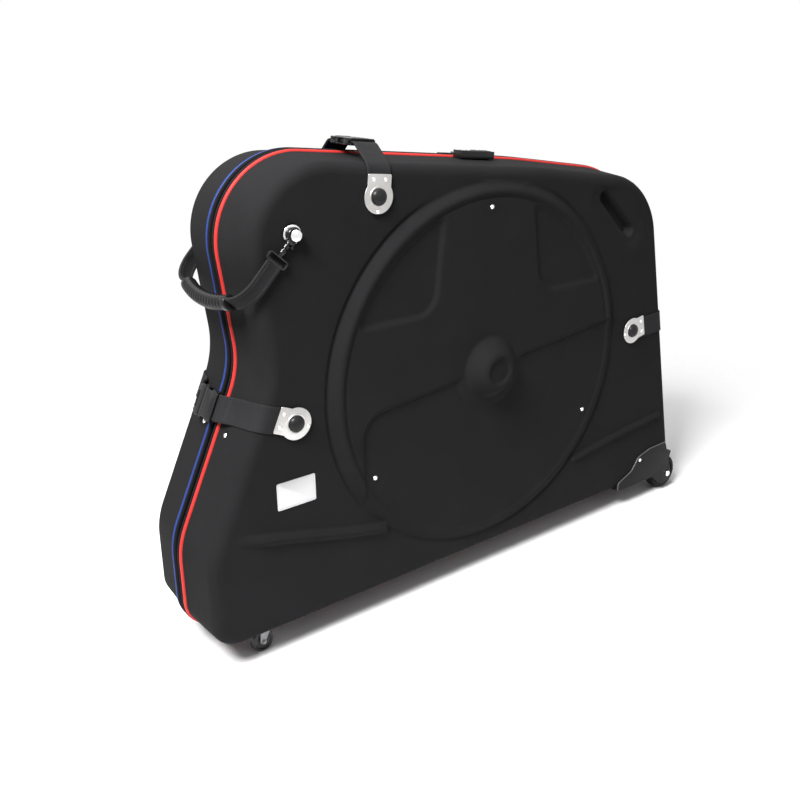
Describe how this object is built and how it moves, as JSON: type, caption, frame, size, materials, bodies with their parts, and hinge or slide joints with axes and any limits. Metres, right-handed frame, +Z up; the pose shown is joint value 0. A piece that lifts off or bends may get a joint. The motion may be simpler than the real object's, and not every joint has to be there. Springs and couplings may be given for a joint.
{
  "type": "bike travel case",
  "caption": "Wheeled two-shell hard travel case for a bicycle, black fabric over moulded shells, with wheel discs, coloured piping, zipper, buckled straps, handle and combination lock",
  "frame": {"origin": "on the floor, under the middle of the bounding box", "axes": "+X along the case to the end with the fixed wheels, +Y across to the far half, +Z up; the near half, with the lock and the red piping, is at -Y"},
  "size_m": [1.2, 0.306, 0.8664],
  "materials": {
    "shell_fabric": "black woven fabric bonded to moulded foam shell",
    "red_piping": "red woven edge piping",
    "blue_piping": "blue woven edge piping",
    "zipper_tape": "black zipper tape and coil",
    "webbing": "black woven webbing",
    "inner_webbing": "black elastic webbing",
    "buckle_plastic": "satin black moulded plastic",
    "plate_steel": "stamped bright steel",
    "stud_plastic": "speckled gloss black dome",
    "rivet_steel": "bright domed rivet",
    "bright_metal": "bright plated steel",
    "hook_metal": "black coated cast metal",
    "grip_rubber": "ribbed black moulded grip",
    "housing_plastic": "black moulded plastic",
    "tyre_rubber": "black rubber tread",
    "hub_plastic": "dark grey moulded plastic",
    "roller_plastic": "black hard plastic wheel",
    "lock_plastic": "gloss black moulded plastic",
    "lock_button": "dark grey push button",
    "dial_plastic": "black dial",
    "zipper_metal": "dark plated zipper metal",
    "bare_plate": "plain metal plate"
  },
  "bodies": {
    "far_half": {"far_shell": "shell_fabric", "far_piping": "blue_piping", "far_zipper_half": "zipper_tape", "far_top_strap": "webbing", "far_top_buckle": "buckle_plastic", "far_left_strap": "webbing", "far_left_buckle": "buckle_plastic", "far_right_strap": "webbing", "far_right_buckle": "buckle_plastic", "far_anchor_plates": "plate_steel", "far_anchor_studs": "stud_plastic", "far_rivets": "rivet_steel", "far_handle_eye": "bright_metal", "far_wheel_housing": "housing_plastic", "far_wheel_axle": "bright_metal", "far_caster_plate": "bright_metal", "far_wheel_straps": "inner_webbing", "hinge_gusset": "zipper_tape"},
    "near_half": {"near_shell": "shell_fabric", "near_piping": "red_piping", "near_zipper_half": "zipper_tape", "near_top_strap": "webbing", "near_top_buckle": "buckle_plastic", "near_left_strap": "webbing", "near_left_buckle": "buckle_plastic", "near_right_strap": "webbing", "near_right_buckle": "buckle_plastic", "near_anchor_plates": "plate_steel", "near_anchor_studs": "stud_plastic", "near_rivets": "rivet_steel", "near_handle_eye": "bright_metal", "near_wheel_housing": "housing_plastic", "near_wheel_axle": "bright_metal", "near_caster_plate": "bright_metal", "near_wheel_straps": "inner_webbing", "nameplate": "bare_plate", "lock_body": "lock_plastic"},
    "near_caster": {"near_caster_fork": "bright_metal"},
    "near_caster_roller": {"near_caster_wheel": "roller_plastic"},
    "near_rear_wheel": {"near_rear_hub": "hub_plastic", "near_rear_tyre": "tyre_rubber"},
    "far_caster": {"far_caster_fork": "bright_metal"},
    "far_caster_roller": {"far_caster_wheel": "roller_plastic"},
    "far_rear_wheel": {"far_rear_hub": "hub_plastic", "far_rear_tyre": "tyre_rubber"},
    "handle": {"handle_grip": "grip_rubber", "far_handle_strap": "webbing", "far_snap_hook": "hook_metal"},
    "near_handle_strap": {"near_handle_strap": "webbing", "near_snap_hook": "hook_metal"},
    "left_slider": {"left_slider": "zipper_metal"},
    "left_pull": {"left_pull": "zipper_metal"},
    "right_slider": {"right_slider": "zipper_metal"},
    "right_pull": {"right_pull": "zipper_metal"},
    "lock_dial_1": {"lock_dial_1": "dial_plastic"},
    "lock_dial_2": {"lock_dial_2": "dial_plastic"},
    "lock_dial_3": {"lock_dial_3": "dial_plastic"},
    "lock_button": {"lock_button": "lock_button"}
  },
  "joints": [
    {"name": "lid_hinge", "type": "hinge", "parent": "far_half", "child": "near_half", "pos_m": [0, 0, 0.05], "axis": [1, 0, 0], "range_deg": [0, 90]},
    {"name": "near_caster_swivel", "type": "hinge", "parent": "near_half", "child": "near_caster", "pos_m": [-0.48, -0.076, 0.047], "axis": [0, 0, 1], "continuous": true},
    {"name": "near_caster_roll", "type": "hinge", "parent": "near_caster", "child": "near_caster_roller", "pos_m": [-0.491, -0.076, 0.02], "axis": [0, 1, 0], "continuous": true},
    {"name": "near_rear_wheel_roll", "type": "hinge", "parent": "near_half", "child": "near_rear_wheel", "pos_m": [0.56, -0.093, 0.04], "axis": [0, 1, 0], "continuous": true},
    {"name": "far_caster_swivel", "type": "hinge", "parent": "far_half", "child": "far_caster", "pos_m": [-0.48, 0.076, 0.047], "axis": [0, 0, 1], "continuous": true},
    {"name": "far_caster_roll", "type": "hinge", "parent": "far_caster", "child": "far_caster_roller", "pos_m": [-0.491, 0.076, 0.02], "axis": [0, 1, 0], "continuous": true},
    {"name": "far_rear_wheel_roll", "type": "hinge", "parent": "far_half", "child": "far_rear_wheel", "pos_m": [0.56, 0.093, 0.04], "axis": [0, 1, 0], "continuous": true},
    {"name": "handle_swing", "type": "hinge", "parent": "far_half", "child": "handle", "pos_m": [-0.408, 0, 0.733], "axis": [0, 1, 0], "range_deg": [0, 115]},
    {"name": "near_hook_swing", "type": "hinge", "parent": "near_half", "child": "near_handle_strap", "pos_m": [-0.408, -0.115, 0.733], "axis": [0, 1, 0], "range_deg": [0, 115]},
    {"name": "left_slider_slide", "type": "slide", "parent": "far_half", "child": "left_slider", "axis": [-0.9952, 0, 0.0983], "range_m": [0, 0.15]},
    {"name": "left_pull_flip", "type": "hinge", "parent": "left_slider", "child": "left_pull", "pos_m": [0.00058, 0, 0.81951], "axis": [0, 1, 0], "range_deg": [0, 150]},
    {"name": "right_slider_slide", "type": "slide", "parent": "far_half", "child": "right_slider", "axis": [0.9952, 0, -0.0983], "range_m": [0, 0.06]},
    {"name": "right_pull_flip", "type": "hinge", "parent": "right_slider", "child": "right_pull", "pos_m": [0.02247, 0, 0.81735], "axis": [0, -1, 0], "range_deg": [0, 150]},
    {"name": "dial_1_turn", "type": "hinge", "parent": "near_half", "child": "lock_dial_1", "pos_m": [0.03679, -0.033, 0.81986], "axis": [0.9952, 0, -0.0983], "continuous": true},
    {"name": "dial_2_turn", "type": "hinge", "parent": "near_half", "child": "lock_dial_2", "pos_m": [0.04376, -0.033, 0.81917], "axis": [0.9952, 0, -0.0983], "continuous": true},
    {"name": "dial_3_turn", "type": "hinge", "parent": "near_half", "child": "lock_dial_3", "pos_m": [0.05072, -0.033, 0.81848], "axis": [0.9952, 0, -0.0983], "continuous": true},
    {"name": "lock_button_press", "type": "slide", "parent": "near_half", "child": "lock_button", "axis": [-0.0983, 0, -0.9952], "range_m": [0, 0.0027], "stiffness_N_per_m": 400, "springref_m": -0.001}
  ],
  "couplings": [
    {"joint": "near_hook_swing", "follows": "handle_swing", "ratio": 1}
  ]
}
